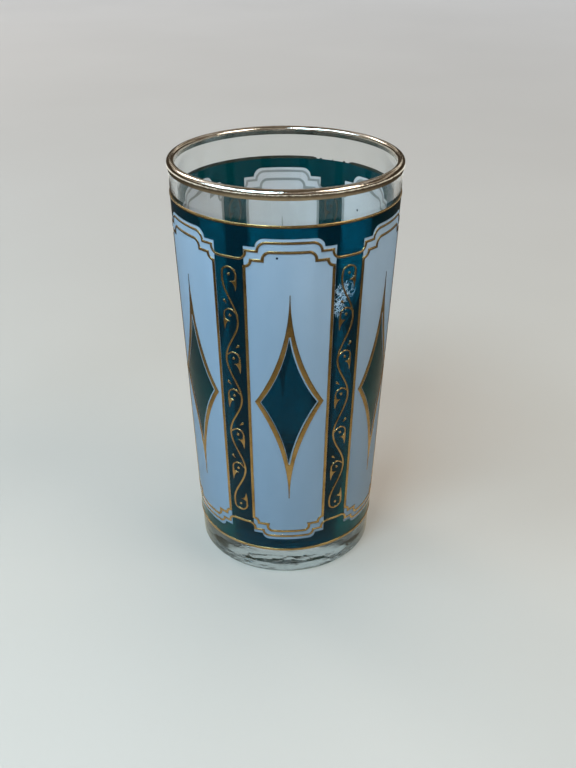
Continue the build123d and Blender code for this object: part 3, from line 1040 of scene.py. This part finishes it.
# painted shade: the gold's inward faces are painted grey over the white and near black over the teal
gold_line = gold_material("gold_line", *GOLD_LINE_LOOK, painted_shade_underside=(0.22, 0.20, 0.18))
gold_on_teal = gold_material("gold_on_teal", *GOLD_LINE_LOOK, painted_shade_underside=(0.035, 0.03, 0.02))
rim_gold = gold_material("rim_gold", *RIM_GOLD_LOOK)


# ---- The object ----
vertices, faces = turned(glass_profile(), False)
piece("tumbler_glass", vertices, faces, clear_glass, ["glass_body"], SHARP_TURNED)
vertices, faces = turned(rim_gold_profile(), True)
piece("rim_gold_band", vertices, faces, rim_gold, ["rim_gilding"], SHARP_TURNED)

ring_width = UPPER_RING_BOX[1].z - UPPER_RING_BOX[0].z
ring_z = (UPPER_RING_BOX[1].z + UPPER_RING_BOX[0].z) / 2
ring_end = RING_GAP[0] + 360


def worn_width(point):
    """Width of the upper ring at an angle: ragged over the last degrees before its gap."""
    left = min(point[0] - RING_GAP[1], ring_end - point[0])
    whole = min(1, RING_END_SHARE + left / RING_FRAY)
    ragged = RING_RAGGED_SHARE * sin(point[0] * RING_RAGGED_RATE) * (left < RING_RAGGED)
    return ring_width * (whole + ragged)


ring_parts = [(RING_GAP[1], ring_end, worn_width)]
ring_parts += RING_REMNANTS
patches = [
    strip(np.array(((start, ring_z), (stop, ring_z))), width, False) for start, stop, width in ring_parts
]
gold_piece("upper_gold_ring_line", together(patches), gold_on_teal, "upper_gold_ring")
middle_z = (LOWER_RING_BOX[0].z + LOWER_RING_BOX[1].z) / 2
circle = np.array(((0.0, middle_z), (360.0, middle_z)))
lower_width = LOWER_RING_BOX[1].z - LOWER_RING_BOX[0].z
lower_ring = repeated(strip(circle, lower_width, False), [0])
gold_piece("lower_gold_ring_line", lower_ring, gold_on_teal, "lower_gold_ring")

sixths = [panel * PANEL_PITCH for panel in range(PANELS)]
for name, end, rise in (("upper", SCALLOP_TOP, 1), ("lower", SCALLOP_FOOT, -1)):
    sixth = round_wall(strip(scallop_path(end, rise), SCALLOP_WIDTH, False))
    gold_piece(name + "_scallop", repeated(sixth, sixths), gold_line, name + "_scallop_line")

vertices, faces, _, _ = layer(scratch_strokes(), SCRATCH_LIFT, SCRATCH_EDGE, SCRATCH_THICKNESS)
piece("rubbed_scratches", vertices, faces, scratch_material(), [], SHARP_ENAMEL)

white_edge = white_outline(WHITE_SHIFT_ANGLE)
teal_window = white_outline(0.0)
diamond_size = (DIAMOND_ENAMEL_HALF_WIDTH, DIAMOND_ENAMEL_HALF_HEIGHT)
diamond_edge = diamond_outline(*diamond_size, DIAMOND_ENAMEL_BOW)
diamond_window = diamond_outline(*(half + DIAMOND_SEAM for half in diamond_size), DIAMOND_ENAMEL_BOW)
corners = ((-1, 0), (1, 0), (1, 1), (-1, 1))
teal_ends = (LOWER_RING_BOX[0].z, UPPER_RING_BOX[0].z + RING_ON_TEAL)
sixth_edge = np.array([on_wall(side * PANEL_PITCH / 2, teal_ends[end]) for side, end in corners])
teal_sixth = round_wall(filled(sixth_edge, [teal_window]))
enamel_piece("teal_ground", repeated(teal_sixth, sixths), teal_enamel, "teal_enamel")

white_patch = round_wall(filled(white_edge, [diamond_window]))
diamond_patch = round_wall(filled(diamond_edge))
outline_patch = round_wall(strip(both_ends(coved_half, OUTLINE_TOP, OUTLINE_FOOT), OUTLINE_WIDTH, True))
wide = DIAMOND_HALF_WIDTH + DIAMOND_ROOM
tall = DIAMOND_HALF_HEIGHT + DIAMOND_ROOM
border_corners = ((-wide, DIAMOND_Z - tall), (wide, DIAMOND_Z + tall))
border = relief(diamond_border_distance, *border_corners, DIAMOND_STEP, DIAMOND_GOLD_SLOPE)
border_patch = round_wall(border)
scroll_low = (-SCROLL_REACH[0], LAST_CURL_Z - SCROLL_REACH[1])
scroll_high = (SCROLL_REACH[0], TOP_CURL_Z + SCROLL_REACH[1])
scroll_patch = round_wall(relief(scroll_distance, scroll_low, scroll_high, SCROLL_STEP, SCROLL_GOLD_SLOPE))
panel_enamel = (  # piece, patch, material, slot, CAD node
    ("white_panel_enamel_", white_patch, white_enamel, "white_enamel", "white_panel_"),
    ("diamond_teal_", diamond_patch, teal_enamel, "teal_enamel", "diamond_enamel_"),
)
panel_gold = (  # piece, patch, material, CAD node, panels to the right of the panel's middle
    ("diamond_gold_", border_patch, gold_line, "diamond_border_", 0),
    ("outline_gold_", outline_patch, gold_line, "panel_outline_", 0),
    ("scroll_gold_", scroll_patch, gold_on_teal, "column_scroll_", 0.5),
)
for panel in range(PANELS):
    number = str(panel + 1)
    for name, patch, look, slot, cad_node in panel_enamel:
        turned_patch = repeated(patch, [panel * PANEL_PITCH])
        enamel_piece(name + number, turned_patch, look, cad_node + number)
    for name, patch, look, cad_node, aside in panel_gold:
        turned_patch = repeated(patch, [(panel + aside) * PANEL_PITCH])
        gold_piece(name + number, turned_patch, look, cad_node + number)


# ---- Floor, lights and camera ----
FLOOR_Z = -0.0001  # just under the foot
FLOOR_REACH = 12.0
floor_mesh = bpy.data.meshes.new("floor")
floor_signs = ((-1, -1), (1, -1), (1, 1), (-1, 1))
floor_corners = [(x * FLOOR_REACH, y * FLOOR_REACH, FLOOR_Z) for x, y in floor_signs]
floor_mesh.from_pydata(floor_corners, [], [(0, 1, 2, 3)])
floor_mesh.materials.append(floor_material())
floor = linked("floor", floor_mesh)


LAMPS = (  # name, place and side in metres, power in watts, colour
    ("front_window", (-0.20, -0.32, 0.54), 0.25, 3.7, (0.50, 0.77, 1.0)),
    ("left_window", (-0.50, -0.10, 0.62), 0.3, 2.6, (0.56, 0.79, 1.0)),
    ("side_fill", (0.50, -0.25, 0.65), 0.4, 2.5, (1.0, 0.96, 0.90)),
    ("back_edge", (-0.9, 1.0, 1.1), 0.4, 4.5, (1.0, 0.97, 0.93)),
    ("glint", (-0.24, -0.85, 0.9), 0.04, 0.7, (1.0, 0.97, 0.9)),
)
SUN_STRENGTH = 1.7
SUN_SOFTNESS = 50  # degrees across
SUN_TILT = (-18, 6, 0)  # degrees about x, y and z
SUN_COLOR = (0.97, 0.98, 1.0)


def softbox(name, place, side, power, color):
    """Square lamp at a place in metres, facing the tumbler's middle."""
    lamp = bpy.data.lights.new(name, "AREA")
    lamp.shape = "RECTANGLE"
    lamp.size = lamp.size_y = side
    lamp.energy = power
    lamp.color = color
    made = linked(name, lamp)
    made.visible_transmission = False
    made.location = place
    aim = Vector((0, 0, HEIGHT * MM / 2)) - Vector(place)
    made.rotation_euler = aim.to_track_quat("-Z", "Y").to_euler()


for lamp in LAMPS:
    softbox(*lamp)
overhead = bpy.data.lights.new("overhead", "SUN")
overhead.energy = SUN_STRENGTH
overhead.angle = radians(SUN_SOFTNESS)
overhead.color = SUN_COLOR
overhead_lamp = linked("overhead", overhead)
overhead_lamp.rotation_euler = [radians(turn) for turn in SUN_TILT]
overhead_lamp.visible_glossy = False
overhead_lamp.visible_transmission = False


def studio_world():
    """Pale room for the camera. The object mirrors a brown one with two pale bands."""
    made = bpy.data.worlds.new("studio")
    made.use_nodes = True
    tree = made.node_tree
    tree.nodes.clear()
    direction = node(tree, "TexCoord").outputs["Generated"]
    height = node(tree, "SeparateXYZ", {0: direction}).outputs["Z"]
    cloud = node(tree, "TexNoise", {"Vector": direction, "Scale": 2.2, "Detail": 2.0}).outputs["Fac"]
    uneven = arithmetic(tree, "ADD", height, spread(tree, cloud, 0.3, 0.7, -0.14, 0.14))
    mirrored = ramp(
        tree,
        spread(tree, uneven, -0.2, 1.0),
        [
            (0.0, (0.12, 0.10, 0.08)),
            (0.30, (0.04, 0.03, 0.02)),
            (0.43, (0.06, 0.045, 0.03)),
            (0.48, (1.1, 1.05, 0.95)),
            (0.54, (0.16, 0.12, 0.08)),
            (0.70, (0.05, 0.04, 0.03)),
            (0.77, (1.0, 1.0, 1.0)),
            (0.83, (0.20, 0.17, 0.13)),
            (1.0, (0.10, 0.08, 0.06)),
        ],
    )
    backdrop, ambient, reflected = (
        node(tree, "Background", {"Color": color, "Strength": strength}).outputs["Background"]
        for color, strength in (((0.62, 0.61, 0.6, 1), 0.75), ((0.95, 0.97, 1.0, 1), 0.14), (mirrored, 1.0))
    )
    ray = node(tree, "LightPath")
    seen = arithmetic(tree, "MAXIMUM", ray.outputs["Is Camera Ray"], ray.outputs["Is Transmission Ray"])
    lit = mixed(tree, ray.outputs["Is Glossy Ray"], ambient, reflected)
    return finished(made, mixed(tree, seen, lit, backdrop), "World")


bpy.context.scene.world = studio_world()
bpy.context.scene.view_settings.view_transform = "Standard"

CAMERA_PLACE = (-0.0088, -0.2792, 0.2132)
CAMERA_TURN = 1.97  # degrees to the right of straight ahead
CAMERA_DOWN = 29.16
CAMERA_ROLL = 0.1
CAMERA_LENS = 44.1

camera_data = bpy.data.cameras.new("camera")
camera_data.lens = CAMERA_LENS
camera_data.sensor_width = 36.0
camera_data.clip_start = 0.01
camera = linked("camera", camera_data)
camera.location = CAMERA_PLACE
level = cos(radians(CAMERA_DOWN))
turn = radians(CAMERA_TURN)
ahead = Vector((sin(turn) * level, cos(turn) * level, -sin(radians(CAMERA_DOWN))))
camera.rotation_mode = "QUATERNION"
camera.rotation_quaternion = (
    ahead.to_track_quat("-Z", "Y") @ Matrix.Rotation(radians(CAMERA_ROLL), 3, "Z").to_quaternion()
)
bpy.context.scene.camera = camera
